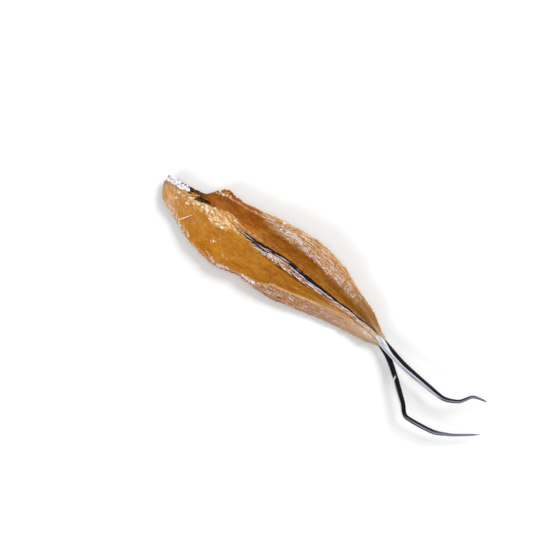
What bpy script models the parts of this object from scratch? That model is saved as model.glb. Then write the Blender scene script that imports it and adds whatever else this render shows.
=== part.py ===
"""A dried sardine, beheaded, split open and dried flat: one piece of amber flesh with a long forked tail.

The fish lies on its back skin with the cut flesh up. Two hollow channels run beside a raised backbone ridge,
the belly rims curl up and roll over, and the two tail lobes taper from the root of the tail.
Metres, +Z up. X runs from the cut neck to the tail, +Y to the higher, far belly rim.
The origin is at the middle of the bounding box, on the surface that the fish lies on.
"""

import math
import random

import bmesh
import bpy
import numpy as np
from mathutils import Matrix, Vector

MM = 0.001

# Driving dimensions, in millimetres. x is measured from the tip of the neck cut.
BODY_LENGTH = 118.0
BACK_THICKNESS = 3.6  # flesh under the backbone ridge
FLANK_THICKNESS = 1.6  # flesh in the two channels
RIM_THICKNESS = 0.95  # belly rims
RIDGE_SHARE = 0.11  # where the ridge's crest lies, as a share of the near half's width

# Outline and section, each a smooth curve through (x, value) knots in millimetres.
SPINE_Y = ((0, 3.0), (12, 4.7), (22, 4.0), (42, 2.5), (60, 3.8), (80, 2.6), (100, 2.1), (118, -1.2))
NEAR_EDGE_Y = (
    (0, 0.4),
    (2.7, -4.8),
    (10, -8.3),
    (23, -13.6),
    (38, -16.2),
    (50, -13.8),
    (63, -14.1),
    (75, -11.7),
    (94, -7.4),
    (112, -4.6),
    (118, -3.0),
)
FAR_EDGE_Y = (
    (0, 4.2),
    (11, 5.6),
    (17, 6.6),
    (20, 9.6),
    (22.5, 12.6),
    (25.3, 14.3),
    (30, 13.3),
    (41, 14.7),
    (54, 17.2),
    (69, 18.5),
    (83, 16.2),
    (95, 11.6),
    (106, 7.4),
    (115, 1.9),
    (118, 0.6),
)
NEAR_CREST_SHARE = ((0, 0.92), (44, 0.92), (54, 0.88), (63, 0.73), (80, 0.57), (100, 0.44), (118, 0.5))
FAR_CREST_SHARE = ((0, 0.6), (22, 0.84), (42, 0.84), (56, 0.6), (80, 0.51), (118, 0.5))
RIDGE_Z = ((0, 3.4), (10, 4.5), (30, 4.4), (60, 4.1), (90, 3.9), (108, 4.0), (118, 4.0))
NEAR_CHANNEL_Z = ((0, 2.6), (8, 1.9), (24, 1.5), (88, 1.5), (106, 2.2), (118, 3.6))
NEAR_CREST_Z = ((0, 3.0), (10, 4.4), (30, 7.0), (45, 7.6), (70, 7.4), (95, 5.8), (110, 4.4), (118, 3.8))
NEAR_EDGE_Z = ((0, 3.0), (10, 4.7), (30, 7.8), (48, 7.8), (62, 6.0), (80, 4.0), (100, 2.7), (118, 2.9))
FAR_CHANNEL_Z = ((0, 3.4), (10, 4.4), (18, 4.0), (27, 1.9), (44, 1.5), (88, 1.5), (106, 2.2), (118, 3.6))
FAR_CREST_Z = ((0, 3.2), (12, 4.4), (19, 4.2), (25, 6.6), (42, 8.2), (62, 7.6), (90, 6.4), (108, 4.9), (118, 3.8))
FAR_EDGE_Z = ((0, 3.0), (12, 4.2), (19, 4.6), (25, 8.0), (42, 9.6), (66, 11.2), (88, 9.2), (106, 5.8), (118, 3.0))
LIFT = ((0, 2.2), (14, 0.5), (26, 0.0), (86, 0.0), (104, 1.0), (118, 2.2))  # the ends curl up off the ground
END_TAPER = ((0, 0.6), (7, 1.0), (86, 1.0), (106, 0.72), (118, 0.5))  # the thickness as a share of the full one
CORNER_PLACES = (-1.0, -0.72, -0.4, -0.11, 0.34, 0.72, 1.0)  # edge, crest and channel of each side, with the ridge
STEEPEST = 1.6  # the steepest slope that makes the flesh thicker
UNDERSIDE_SMOOTHING = 4

# The strip of dark lining that lies on the ridge's far flank.
LINING_START_X = 12.0
LINING_END_X = 113.0
LINING_HALF_WIDTH = 0.9
LINING_HEIGHT = 0.35

# The tail lobes: (x, y, z) along the middle, and the width there.
FAR_LOBE = (
    ((115.0, -0.6, 5.2), 3.4),
    (((121.0), -2.1, 6.6), 3.4),
    ((130.0, -4.0, 8.6), 3.1),
    ((142.5, -5.2, 10.4), 2.7),
    ((150.0, -5.6, 10.6), 2.1),
    ((157.4, -2.8, 9.8), 1.5),
    ((161.8, 2.6, 9.2), 1.2),
    ((167.6, 4.2, 8.6), 0.7),
)
NEAR_LOBE = (
    ((115.5, -1.8, 4.6), 2.6),
    ((120.5, -3.8, 5.4), 2.5),
    ((124.5, -6.2, 6.0), 2.4),
    ((130.6, -10.8, 7.0), 2.4),
    ((138.0, -16.8, 8.0), 2.3),
    ((143.8, -21.2, 8.4), 1.9),
    ((155.5, -19.9, 7.4), 1.9),
    ((162.7, -16.8, 6.6), 1.3),
    ((173.8, -9.1, 5.6), 0.7),
)
LOBE_FLATNESS = 0.42  # a lobe's thickness as a share of its width
LOBE_THINNEST = 0.5
LOBE_RINGS = 30
LOBE_SIDES = 8

# Crumbs of bone left along the ridge where the head was cut off: x, and the crumb's radius.
BONE_START_X = 0.9
BONE_END_X = 14.5
BONE_CRUMBS = 11
BONE_RADIUS = (0.75, 1.25)

# Waves that drying leaves in the rims: (height, length, start), in millimetres.
RIM_WAVES = ((0.38, 17.0, 2.0), (0.22, 9.3, 5.0))

STATIONS = 80  # sections along the body
COLUMNS = 26  # strips across it, an even number
SEED = 7


def smooth_curve(knots, at):
    """The value at `at` of the smooth curve through (position, value) knots. It never overshoots a knot."""
    places, values = np.array(knots, float).T
    gaps = np.diff(places)
    slopes = np.diff(values) / gaps
    tangents = np.zeros_like(values)
    tangents[0], tangents[-1] = slopes[0], slopes[-1]
    same_way = slopes[:-1] * slopes[1:] > 0
    both = np.where(same_way, slopes[:-1] + slopes[1:], 1.0)
    tangents[1:-1] = np.where(same_way, 2 * slopes[:-1] * slopes[1:] / both, 0.0)
    span = np.clip(np.searchsorted(places, at, side="right") - 1, 0, len(gaps) - 1)
    u = np.clip((at - places[span]) / gaps[span], 0, 1)
    start, end = values[span], values[span + 1]
    rise_in, rise_out = tangents[span] * gaps[span], tangents[span + 1] * gaps[span]
    return (
        start * (1 + 2 * u) * (1 - u) ** 2
        + rise_in * u * (1 - u) ** 2
        + end * u * u * (3 - 2 * u)
        + rise_out * u * u * (u - 1)
    )


def section(x, places):
    """(y, top, underside) of the body at x, for places across it from -1, the near edge, to 1, the far edge."""
    spine = smooth_curve(SPINE_Y, x)
    near_width = spine - smooth_curve(NEAR_EDGE_Y, x)
    far_width = smooth_curve(FAR_EDGE_Y, x) - spine
    near_crest = smooth_curve(NEAR_CREST_SHARE, x)
    far_crest = smooth_curve(FAR_CREST_SHARE, x)
    corners = (
        (-near_width, NEAR_EDGE_Z, RIM_THICKNESS),
        (-near_width * near_crest, NEAR_CREST_Z, RIM_THICKNESS),
        (-near_width * (0.55 * near_crest + 0.08), NEAR_CHANNEL_Z, FLANK_THICKNESS),
        (-near_width * RIDGE_SHARE, RIDGE_Z, BACK_THICKNESS),
        (far_width * far_crest * 0.5, FAR_CHANNEL_Z, FLANK_THICKNESS),
        (far_width * far_crest, FAR_CREST_Z, RIM_THICKNESS),
        (far_width, FAR_EDGE_Z, RIM_THICKNESS),
    )
    across = [spine + corner[0] for corner in corners]
    heights = [smooth_curve(corner[1], x) + smooth_curve(LIFT, x) for corner in corners]
    y = smooth_curve(list(zip(CORNER_PLACES, across)), places)
    top = smooth_curve(list(zip(CORNER_PLACES, heights)), places)
    for height, length, start in RIM_WAVES:
        side_shift = np.where(places < 0, 0.0, 0.37 * length)
        wave = np.sin(2 * math.pi * (x - start + side_shift) / length)
        top += height * wave * np.abs(places) ** 2
    thickness = smooth_curve([(place, corner[2]) for place, corner in zip(CORNER_PLACES, corners)], places)
    slope = np.clip(np.gradient(top, y), -STEEPEST, STEEPEST)
    depth = thickness * smooth_curve(END_TAPER, x) * np.sqrt(1 + slope**2)
    for _ in range(UNDERSIDE_SMOOTHING):
        depth[1:-1] = (depth[:-2] + 2 * depth[1:-1] + depth[2:]) / 4
    return y, top, np.maximum(top - depth, 0.0)


def with_lining(x, y, top):
    """The top with the strip of dark lining raised on it."""
    if not LINING_START_X <= x <= LINING_END_X:
        return top
    away = np.abs(y - smooth_curve(SPINE_Y, x)) / LINING_HALF_WIDTH
    return top + LINING_HEIGHT * np.clip(1 - away**2, 0, None)


def make_body():
    """The split flesh: a sheet of top faces and a sheet of underside faces that share their outer edges."""
    even = np.linspace(-1, 1, COLUMNS + 1)
    places = np.sign(even) * np.abs(even) ** 1.3  # strips are narrower beside the spine
    body = bmesh.new()
    tops, unders = [], []
    for x in np.linspace(0, BODY_LENGTH, STATIONS + 1):
        y, top, under = section(x, places)
        top = with_lining(x, y, top)
        top_row = [body.verts.new((x, y[j], top[j])) for j in range(COLUMNS + 1)]
        middle_row = [body.verts.new((x, y[j], under[j])) for j in range(1, COLUMNS)]
        for j in (0, COLUMNS):
            top_row[j].co.z = (top[j] + under[j]) / 2
        tops.append(top_row)
        unders.append([top_row[0], *middle_row, top_row[-1]])
    for i in range(STATIONS):
        for j in range(COLUMNS):
            body.faces.new((tops[i][j], tops[i + 1][j], tops[i + 1][j + 1], tops[i][j + 1]))
            body.faces.new((unders[i][j], unders[i][j + 1], unders[i + 1][j + 1], unders[i + 1][j]))
    for i in (0, STATIONS):
        for j in range(COLUMNS):
            ring = dict.fromkeys((tops[i][j], tops[i][j + 1], unders[i][j + 1], unders[i][j]))
            body.faces.new(tuple(ring) if i == 0 else tuple(ring)[::-1])
    bmesh.ops.recalc_face_normals(body, faces=body.faces)
    return body


def make_lobe(stations):
    """One tail lobe: rings of a flat oval along a smooth route, closed at both ends."""
    at = np.arange(len(stations))
    route = [list(zip(at, [place[axis] for place, _ in stations])) for axis in range(3)]
    widths = list(zip(at, [width for _, width in stations]))
    rings = np.linspace(0, at[-1], LOBE_RINGS)
    middles = np.array([smooth_curve(axis_knots, rings) for axis_knots in route]).T
    ways = np.gradient(middles, axis=0)
    lobe = bmesh.new()
    loops = []
    for middle, way, width in zip(middles, ways, smooth_curve(widths, rings)):
        way = Vector(way).normalized()
        side = way.cross(Vector((0, 0, 1))).normalized()
        up = side.cross(way)
        thickness = max(width * LOBE_FLATNESS, LOBE_THINNEST)
        loop = []
        for k in range(LOBE_SIDES):
            turn = 2 * math.pi * k / LOBE_SIDES
            out = side * (math.cos(turn) * width / 2) + up * (math.sin(turn) * thickness / 2)
            loop.append(lobe.verts.new(Vector(middle) + out))
        loops.append(loop)
    for first, second in zip(loops, loops[1:]):
        for k in range(LOBE_SIDES):
            after = (k + 1) % LOBE_SIDES
            lobe.faces.new((first[k], first[after], second[after], second[k]))
    lobe.faces.new(loops[0])
    lobe.faces.new(loops[-1][::-1])
    bmesh.ops.recalc_face_normals(lobe, faces=lobe.faces)
    return lobe


def make_bone_crumb(draw, x):
    """One crumb of bone, half sunk in the ridge at x."""
    spine = smooth_curve(SPINE_Y, x)
    near_width = spine - smooth_curve(NEAR_EDGE_Y, x)
    y = spine - near_width * RIDGE_SHARE + draw.uniform(-0.9, 0.5)
    z = smooth_curve(RIDGE_Z, x) + smooth_curve(LIFT, x) + draw.uniform(-0.2, 0.35)
    radius = draw.uniform(*BONE_RADIUS)
    squash = Matrix.Diagonal((draw.uniform(0.9, 1.5), draw.uniform(0.7, 1.0), draw.uniform(0.6, 0.9), 1))
    turn = Matrix.Rotation(draw.uniform(0, math.pi), 4, "Z")
    crumb = bmesh.new()
    bmesh.ops.create_icosphere(crumb, subdivisions=1, radius=radius)
    for vert in crumb.verts:
        vert.co *= draw.uniform(0.8, 1.12)
    crumb.transform(Matrix.Translation((x, y, z)) @ turn @ squash)
    return crumb


def make_material(name, colour, roughness):
    material = bpy.data.materials.new(name)
    material.use_nodes = True
    shader = material.node_tree.nodes["Principled BSDF"]
    shader.inputs["Base Color"].default_value = (*colour, 1)
    shader.inputs["Roughness"].default_value = roughness
    shader.inputs["Metallic"].default_value = 0.0
    return material


def make_object(name, shape, material, collection):
    """Turns a bmesh in millimetres into an object in metres."""
    shape.transform(Matrix.Scale(MM, 4))
    mesh = bpy.data.meshes.new(name)
    shape.to_mesh(mesh)
    shape.free()
    mesh.materials.append(material)
    made = bpy.data.objects.new(name, mesh)
    collection.objects.link(made)
    return made


def fuse(body, pieces):
    """Joins everything in the collection `pieces` into the body, as one solid."""
    union = body.modifiers.new("fuse", "BOOLEAN")
    union.operation = "UNION"
    union.operand_type = "COLLECTION"
    union.collection = pieces
    union.solver = "EXACT"
    union.material_mode = "TRANSFER"
    graph = bpy.context.evaluated_depsgraph_get()
    fused = bpy.data.meshes.new_from_object(body.evaluated_get(graph))
    body.modifiers.clear()
    body.data = fused
    for piece in list(pieces.objects):
        bpy.data.objects.remove(piece)
    bpy.data.collections.remove(pieces)


def rest_on_ground(made):
    """Moves the object so that the origin is the middle of its box, on the ground."""
    corners = np.array([vert.co for vert in made.data.vertices])
    low, high = corners.min(axis=0), corners.max(axis=0)
    middle = (low + high) / 2
    made.location = (-middle[0], -middle[1], -low[2])


def main():
    for old in list(bpy.data.objects):
        bpy.data.objects.remove(old)
    scene = bpy.context.scene.collection
    extras = bpy.data.collections.new("extras")
    scene.children.link(extras)

    flesh = make_material("dried_flesh", (0.60, 0.27, 0.06), 0.42)
    fin = make_material("tail_fin", (0.045, 0.046, 0.055), 0.4)
    bone = make_material("neck_bone", (0.80, 0.74, 0.66), 0.7)

    sardine = make_object("dried_sardine", make_body(), flesh, scene)
    make_object("far_lobe", make_lobe(FAR_LOBE), fin, extras)
    make_object("near_lobe", make_lobe(NEAR_LOBE), fin, extras)
    draw = random.Random(SEED)
    for number, x in enumerate(np.linspace(BONE_START_X, BONE_END_X, BONE_CRUMBS)):
        make_object(f"bone_crumb_{number}", make_bone_crumb(draw, x), bone, extras)
    fuse(sardine, extras)
    rest_on_ground(sardine)
    sardine.data.shade_smooth()
    sardine.data.set_sharp_from_angle(angle=math.radians(60))


main()
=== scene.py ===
"""A dried sardine: beheaded, split open and dried flat, seen from straight above on a pale table."""

import math
import random

import bpy
import numpy as np
from mathutils import Matrix, Vector, noise
from mathutils.bvhtree import BVHTree


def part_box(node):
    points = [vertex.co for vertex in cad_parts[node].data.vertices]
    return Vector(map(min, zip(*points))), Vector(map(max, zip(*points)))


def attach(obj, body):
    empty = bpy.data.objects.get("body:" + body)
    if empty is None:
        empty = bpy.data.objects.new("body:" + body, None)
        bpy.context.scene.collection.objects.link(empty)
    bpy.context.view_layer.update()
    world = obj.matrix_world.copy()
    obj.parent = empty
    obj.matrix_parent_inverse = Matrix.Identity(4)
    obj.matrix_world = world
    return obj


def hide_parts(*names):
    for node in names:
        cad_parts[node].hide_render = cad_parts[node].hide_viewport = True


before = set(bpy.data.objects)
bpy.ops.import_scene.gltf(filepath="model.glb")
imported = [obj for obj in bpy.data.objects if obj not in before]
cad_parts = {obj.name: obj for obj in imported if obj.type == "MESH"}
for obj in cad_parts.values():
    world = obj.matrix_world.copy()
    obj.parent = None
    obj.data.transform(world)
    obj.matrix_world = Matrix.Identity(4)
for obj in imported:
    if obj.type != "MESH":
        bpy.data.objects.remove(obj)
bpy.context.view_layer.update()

# ---------------------------------------------------------------------------------------------------------------
# The split flesh. The fish was cut open along its length and dried with its skin side down. The two halves are
# translucent amber muscle that curled up at the belly rims. A fine sheet is wrapped on the solid from above and
# another from below, the two are joined at the rims, and the fibres, folds and frost are then pressed into them.

MM = 0.001
BODY_LENGTH = 117.6  # millimetres from the cut neck to the root of the tail
ROWS = 320
STRIPS = 120  # an even number, half of them on each side of the spine
RIM_INSET = 0.03  # keeps the sheets' outermost points over the solid
SPINE_Y = ((0, 4.8), (12, 6.5), (22, 5.8), (42, 4.4), (60, 5.6), (80, 4.5), (100, 3.8), (118, 0.6))
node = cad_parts["dried_sardine"]
neck_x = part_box("dried_sardine")[0].x


def smooth_curve(knots, at):
    """The value at `at` of the smooth curve through (position, value) knots. It never overshoots a knot."""
    places, values = np.array(knots, float).T
    gaps = np.diff(places)
    slopes = np.diff(values) / gaps
    tangents = np.zeros_like(values)
    tangents[0], tangents[-1] = slopes[0], slopes[-1]
    same_way = slopes[:-1] * slopes[1:] > 0
    both = np.where(same_way, slopes[:-1] + slopes[1:], 1.0)
    tangents[1:-1] = np.where(same_way, 2 * slopes[:-1] * slopes[1:] / both, 0.0)
    span = np.clip(np.searchsorted(places, at, side="right") - 1, 0, len(gaps) - 1)
    u = np.clip((at - places[span]) / gaps[span], 0, 1)
    start, end = values[span], values[span + 1]
    rise_in, rise_out = tangents[span] * gaps[span], tangents[span + 1] * gaps[span]
    return (
        start * (1 + 2 * u) * (1 - u) ** 2
        + rise_in * u * (1 - u) ** 2
        + end * u * u * (3 - 2 * u)
        + rise_out * u * u * (u - 1)
    )


def points_of(mesh):
    points = np.empty(len(mesh.vertices) * 3)
    mesh.vertices.foreach_get("co", points)
    return points.reshape(-1, 3)


def numbers_of(mesh, name):
    """A float attribute of the mesh's points."""
    numbers = np.empty(len(mesh.vertices))
    mesh.attributes[name].data.foreach_get("value", numbers)
    return numbers


def keep_numbers(mesh, name, numbers):
    layer = mesh.attributes.get(name) or mesh.attributes.new(name, "FLOAT", "POINT")
    layer.data.foreach_set("value", np.asarray(numbers, np.float32))


def rims_at(x):
    """(near y, near z, far y, far z) of the solid's outer edges at x, all in metres."""
    start, end = cad_edges
    crossed = (start[:, 0] - x) * (end[:, 0] - x) < 0
    start, end = start[crossed], end[crossed]
    share = ((x - start[:, 0]) / (end[:, 0] - start[:, 0]))[:, None]
    cut = start + (end - start) * share
    near, far = cut[cut[:, 1].argmin()], cut[cut[:, 1].argmax()]
    return near[1], near[2], far[1], far[2]


def apply_all(piece):
    bpy.context.view_layer.objects.active = piece
    for modifier in list(piece.modifiers):
        bpy.ops.object.modifier_apply(modifier=modifier.name)


cad_corners = points_of(node.data)
triangles = np.empty(len(node.data.polygons) * 3, int)
node.data.polygons.foreach_get("vertices", triangles)
triangles = triangles.reshape(-1, 3)
cad_edges = [cad_corners[triangles[:, corner]].reshape(-1, 3) for corner in (0, 1, 2)]
cad_edges = (np.vstack(cad_edges), np.vstack(cad_edges[1:] + cad_edges[:1]))

bpy.ops.object.select_all(action="DESELECT")
bpy.ops.mesh.primitive_grid_add(x_subdivisions=ROWS, y_subdivisions=STRIPS, size=2)
flesh = bpy.context.object
flesh.name = flesh.data.name = "split_flesh"
plan = points_of(flesh.data)
along = np.clip((plan[:, 0] + 1) / 2 * BODY_LENGTH, RIM_INSET, BODY_LENGTH - RIM_INSET)
across = plan[:, 1]
end_rows = (along == along.min()) | (along == along.max())
# Each corner closes on its neighbour, or the two sheets would share a whole triangle there.
across[end_rows] = np.clip(across[end_rows], 2 / STRIPS - 1, 1 - 2 / STRIPS)
keep_numbers(flesh.data, "along", along)
keep_numbers(flesh.data, "across", across)
keep_numbers(flesh.data, "cut_side", np.ones_like(along))

stations = np.unique(along)
rims = np.array([rims_at(neck_x + x * MM) for x in stations])
near_rim, near_rim_z, far_rim, far_rim_z = (np.interp(along, stations, rims[:, k]) for k in range(4))
spine = smooth_curve(SPINE_Y, along) * MM
reach = np.where(across < 0, spine - near_rim, far_rim - spine) - RIM_INSET * MM
placed = np.stack([neck_x + along * MM, spine + reach * across, np.full_like(along, 0.05)], axis=1)
flesh.data.vertices.foreach_set("co", placed.ravel())
bpy.ops.object.duplicate()
skin = bpy.context.object
placed[:, 2] = -0.05
skin.data.vertices.foreach_set("co", placed.ravel())
skin.data.flip_normals()  # the cut side looks up and the skin side down, so every face points outwards
keep_numbers(skin.data, "cut_side", np.zeros_like(along))
for sheet, downward in ((flesh, True), (skin, False)):
    wrap = sheet.modifiers.new("wrap", "SHRINKWRAP")
    wrap.target = node
    wrap.wrap_method = "PROJECT"
    wrap.use_project_z = True
    wrap.use_negative_direction = downward
    wrap.use_positive_direction = not downward
    apply_all(sheet)
tops, unders = points_of(flesh.data), points_of(skin.data)
edge_ring = (np.abs(across) == 1) | end_rows
middle = (tops[:, 2] + unders[:, 2]) / 2
for sheet, points in ((flesh, tops), (skin, unders)):
    points[edge_ring, 2] = middle[edge_ring]
    sheet.data.vertices.foreach_set("co", points.ravel())

cut_slot, skin_slot = 0, 1
skin.data.polygons.foreach_set("material_index", [skin_slot] * len(skin.data.polygons))
for name in ("cut_flesh", "fish_skin"):
    for sheet in (flesh, skin):
        sheet.data.materials.append(bpy.data.materials.get(name) or bpy.data.materials.new(name))
flesh.select_set(True)
skin.select_set(True)
bpy.context.view_layer.objects.active = flesh
bpy.ops.object.join()
bpy.ops.object.mode_set(mode="EDIT")
bpy.ops.mesh.select_all(action="SELECT")
bpy.ops.mesh.remove_doubles(threshold=RIM_INSET * MM / 20)
bpy.ops.object.mode_set(mode="OBJECT")
soften = flesh.modifiers.new("soften", "SMOOTH")
soften.use_x = soften.use_y = False
soften.factor = 0.5
soften.iterations = 12
apply_all(flesh)

# Where each point lies: along the body, and across it both as a share and in millimetres from the spine.
along, across, cut_side = (numbers_of(flesh.data, name) for name in ("along", "across", "cut_side"))
near_rim, far_rim = (np.interp(along, stations, rims[:, k]) for k in (0, 2))
spine = smooth_curve(SPINE_Y, along) * MM
reach = np.where(across < 0, spine - near_rim, far_rim - spine) / MM
from_spine = across * reach
from_rim = reach - np.abs(from_spine)
y = spine / MM + from_spine
NOMINAL_REACH = 16.0  # the streaks run parallel on a body this wide on each side, and close up with it
sideways = across * NOMINAL_REACH
keep_numbers(flesh.data, "sideways", sideways)


def grain(length, width, layer, slant=0.0):
    """Smooth noise from about -1 to 1, in patches `length` millimetres along the fish and `width` across it."""
    lengthwise, crosswise = along - slant * sideways, sideways + slant * along
    return np.array([noise.noise((u, v, layer)) for u, v in zip(lengthwise / length, crosswise / width)])


def ramp(numbers, start, end):
    """0 before start, 1 after end, and smooth between them. start may be the larger one."""
    share = np.clip((numbers - start) / (end - start), 0, 1)
    return share * share * (3 - 2 * share)


def between(low, high, wander=0.0, layer=0.0, soft=0.25):
    """1 between two lines of (x, y) knots and 0 outside them. The lines wander by this many millimetres."""
    at = y + wander * (0.6 * grain(2.6, 1.3, layer) + 0.4 * grain(0.9, 0.6, layer + 0.5))
    start, end = smooth_curve(low, along), smooth_curve(high, along)
    return ramp(at, start - soft, start + soft) * ramp(at, end + soft, end - soft)


def near_line(line, width, wander=0.0, layer=0.0):
    """1 on a line of (x, y) knots, falling to 0 a few widths away."""
    at = y + wander * grain(3, 1.5, layer)
    return np.exp(-(((at - smooth_curve(line, along)) / width) ** 2))


# Lines on the cut side, as (x, y) in millimetres: the pale band, the ridge, the lips and where the frost lies.
BAND_NEAR_EDGE = ((6, 2.5), (8, 1.6), (11, 1.9), (16.5, 0.6), (19, 0.9), (23.6, 1.4), (26.5, -0.2), (29.6, 0.1),
                  (33.2, 0.9), (34.5, 2.3), (38, 2.7), (44, 2.6))
BAND_FAR_EDGE = ((6, 4.2), (12, 4.8), (18, 5.2), (22, 5.9), (25.3, 6.5), (29, 7.7), (32.7, 8.0), (35.2, 7.2),
                 (38, 6.7), (46, 6.4), (58, 6.4))
RIDGE_NEAR_EDGE = ((40, 3.2), (46.5, 3.2), (51.6, 1.9), (57.4, 1.6), (62, 1.3), (69.6, 1.2), (74, 1.5), (80.8, 1.9),
                   (85.7, 2.4), (93.3, 3.0), (102, 2.4), (112, 2.0))
RIDGE_FAR_EDGE = ((40, 4.4), (50, 4.6), (60, 5.2), (66, 5.1), (78, 4.3), (90, 4.0), (112, 3.0))
NEAR_LIP_EDGE = ((0, 0.5), (3, -2.6), (5.2, -3.9), (9.1, -5.6), (12.9, -7.3), (16.5, -9.0), (20.4, -10.4),
                 (27, -12.4), (31, -12.2), (36, -12.0), (44, -11.2), (51, -10.2), (55, -9.7), (58.3, -9.0),
                 (60.5, -8.5), (62.5, -6.8), (70.3, -5.0), (78.5, -3.1), (88.9, -0.8), (95.4, 0.2), (104, 0.2),
                 (118, 1.0))
FAR_LIP_EDGE = ((20, 18), (41, 18), (43, 15.5), (46, 13.6), (52, 12.6), (60, 12.4), (70, 12.6), (77, 11.8),
                (84, 10.6), (90, 9.3), (95, 8.2), (100, 7.2), (108, 5.6), (118, 3.0))
FAR_LINE = ((20, 12.6), (24, 13.1), (32.4, 13.7), (36.3, 13.9), (41.8, 15.0), (46.6, 15.8), (54, 15.2), (62, 15.2),
            (68.2, 13.9), (72, 13.9), (77.6, 12.2), (84.6, 11.8), (90.8, 10.5), (95.1, 9.6), (110, 5.0))
NEAR_LINE = ((0, 1), (5.2, -3.8), (9.1, -5.7), (12.9, -7.2), (16.5, -9.0), (20.4, -10.1), (23.4, -11.6),
             (27.3, -12.8), (31, -12.8), (35.9, -12.7), (38.6, -13.4), (43.9, -12.1), (51.1, -10.8), (56.4, -10.5),
             (60.5, -8.9), (62.5, -7.2), (70.3, -5.3), (78.5, -3.4), (88.9, -1.0), (95.4, 0.0), (118, 0.4))
FAR_LIMIT, NEAR_LIMIT = ((0, 40), (118, 40)), ((0, -40), (118, -40))
NEAR_FROST_WIDTH = ((0, 0.5), (24, 0.55), (31, 1.3), (38, 1.2), (41, 0.6), (47, 0.6), (52, 0.9), (60, 0.8), (66, 0.4))
NEAR_FROST_SHARE = ((0, 0.25), (24, 0.15), (31, 0.25), (38, 0.75), (50, 0.7), (57, 0.15), (104, 0.2))
FAR_FROST_WIDTH = ((20, 0.4), (40, 0.4), (46, 1.4), (60, 1.3), (74, 1.1), (104, 0.8))
FAR_FROST_SHARE = ((20, 0), (26, 0.7), (40, 0.7), (46, 0.9), (66, 1.0), (76, 0.8), (92, 0.45), (104, 0))

far_side = ramp(across, -0.02, 0.02)
band = between(BAND_NEAR_EDGE, BAND_FAR_EDGE, 1.0, 20) * ramp(along, 7, 11) * ramp(along, 62, 44)
band *= 1 - 0.5 * ramp(along, 34, 40)
flap = between(RIDGE_NEAR_EDGE, RIDGE_FAR_EDGE, 0.35, 21) * ramp(along, 38, 46) * ramp(along, 112, 98)
shade = near_line(RIDGE_NEAR_EDGE, 0.32, 0.25, 22) * ramp(along, 44, 50) * ramp(along, 97, 88)
gold = near_line(np.array(RIDGE_NEAR_EDGE) - (0, 1.1), 0.6, 0.4, 27) * ramp(along, 44, 52) * ramp(along, 95, 86)
near_lip = between(NEAR_LIMIT, NEAR_LIP_EDGE, 0.9, 23) * (0.22 + 0.78 * ramp(along, 32, 60))
far_lip = between(FAR_LIP_EDGE, FAR_LIMIT, 1.4, 24, 0.5)
near_crest = near_line(np.array(NEAR_LIP_EDGE) - (0, 0.2), 0.4, 0.3, 28) * ramp(along, 57, 63) * ramp(along, 108, 98)
far_crest = near_line(FAR_LINE, 0.32, 0.3, 29) * ramp(along, 25, 28) * ramp(along, 50, 44)
near_frost = near_line(NEAR_LINE, smooth_curve(NEAR_FROST_WIDTH, along), 0.6, 25)
near_frost *= smooth_curve(NEAR_FROST_SHARE, along) * (along < 104)
far_frost = near_line(FAR_LINE, smooth_curve(FAR_FROST_WIDTH, along), 0.7, 26) * (along > 20) * (along < 104)
far_frost *= smooth_curve(FAR_FROST_SHARE, along)
frost_mask = near_frost + far_frost
front = ramp(along, 20, 3) * ramp(across, 0.35, 0.1)
# Painted shadow: a dark brown patch at the front beside the neck bone's far side, where the bone shades the flesh.
gap = ramp(along, 21, 14) * ramp(y, 5.5, 6.3)
tail_root = ramp(along, 99, 109) * np.exp(-(((y - 1.1) / 2.1) ** 2))
far_lip_end = far_lip * ramp(along, 84, 104)
# Painted highlight: a thin golden line along the far rim's edge, where light catches it.
rim_line = np.exp(-from_rim / 0.35) * far_side * ramp(along, 28, 34)
far_strip = between(np.array(FAR_LINE) + (0, 0.5), FAR_LIMIT, 0.3, 30) * ramp(along, 24, 28) * ramp(along, 44, 41)
masks = {"far_side": far_side, "band": band, "flap": flap, "shade": shade, "gold": gold, "near_lip": near_lip,
         "far_lip": far_lip, "near_crest": near_crest, "far_crest": far_crest, "frost": frost_mask, "gap": gap,
         "rim_line": rim_line, "far_strip": far_strip, "far_lip_end": far_lip_end, "tail_root": tail_root,
         "front": front}
for name, numbers in masks.items():
    keep_numbers(flesh.data, name, numbers)

points = points_of(flesh.data)
normals = np.empty(len(points) * 3)
flesh.data.vertices.foreach_get("normal", normals)
normals = normals.reshape(-1, 3)
ground_flat = ramp(points[:, 2], 0.3 * MM, 1.2 * MM) * (1 - cut_side) + cut_side
lips = np.maximum(near_lip, far_lip)
channel = (1 - lips) * (1 - band) * (1 - flap)
segments = np.sin(2 * math.pi * (along + 0.7 * np.abs(from_spine)) / 2.7 + 2.2 * grain(9, 4, 50))
# How far each point is pressed into the flesh, in millimetres. A point below zero is raised.
depth = 0.28 * grain(13, 5, 3) * ground_flat + 0.05 * grain(7, 0.7, 1) + 0.04 * grain(3, 0.5, 2)
depth += cut_side * (
    channel * (0.07 * grain(5, 1.3, 30, 0.25) + 0.05 * grain(2.2, 0.8, 31, -0.3) + 0.025 * segments)
    + flap * (0.3 + 0.3 * grain(7, 0.55, 4, 0.03) + 0.2 * grain(2, 0.5, 5))
    + band * (0.3 + 0.26 * grain(3.2, 0.8, 6, 0.3) + 0.16 * grain(1.0, 0.6, 7))
    + frost_mask * (0.3 * grain(2.2, 0.6, 8) + 0.16 * grain(0.8, 0.5, 9))
    + lips * (0.1 * grain(6, 0.8, 10, 0.08) + 0.12 * grain(1.8, 1.0, 11))
    + near_crest * (0.3 + 0.15 * grain(2, 1, 16))
    + far_crest * (0.3 + 0.2 * grain(2, 1, 17))
    - shade * 0.25
    + front * 0.16 * grain(5, 0.7, 15, 0.9)
)
depth *= np.clip(from_rim / 0.5, 0.1, 1)
points -= normals * (depth * MM)[:, None]
rim_share = np.exp(-from_rim / 1.1)
points[:, 1] += np.sign(across) * rim_share * (0.4 * grain(3.2, 50, 12) + 0.3 * grain(0.9, 50, 13)) * MM
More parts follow.
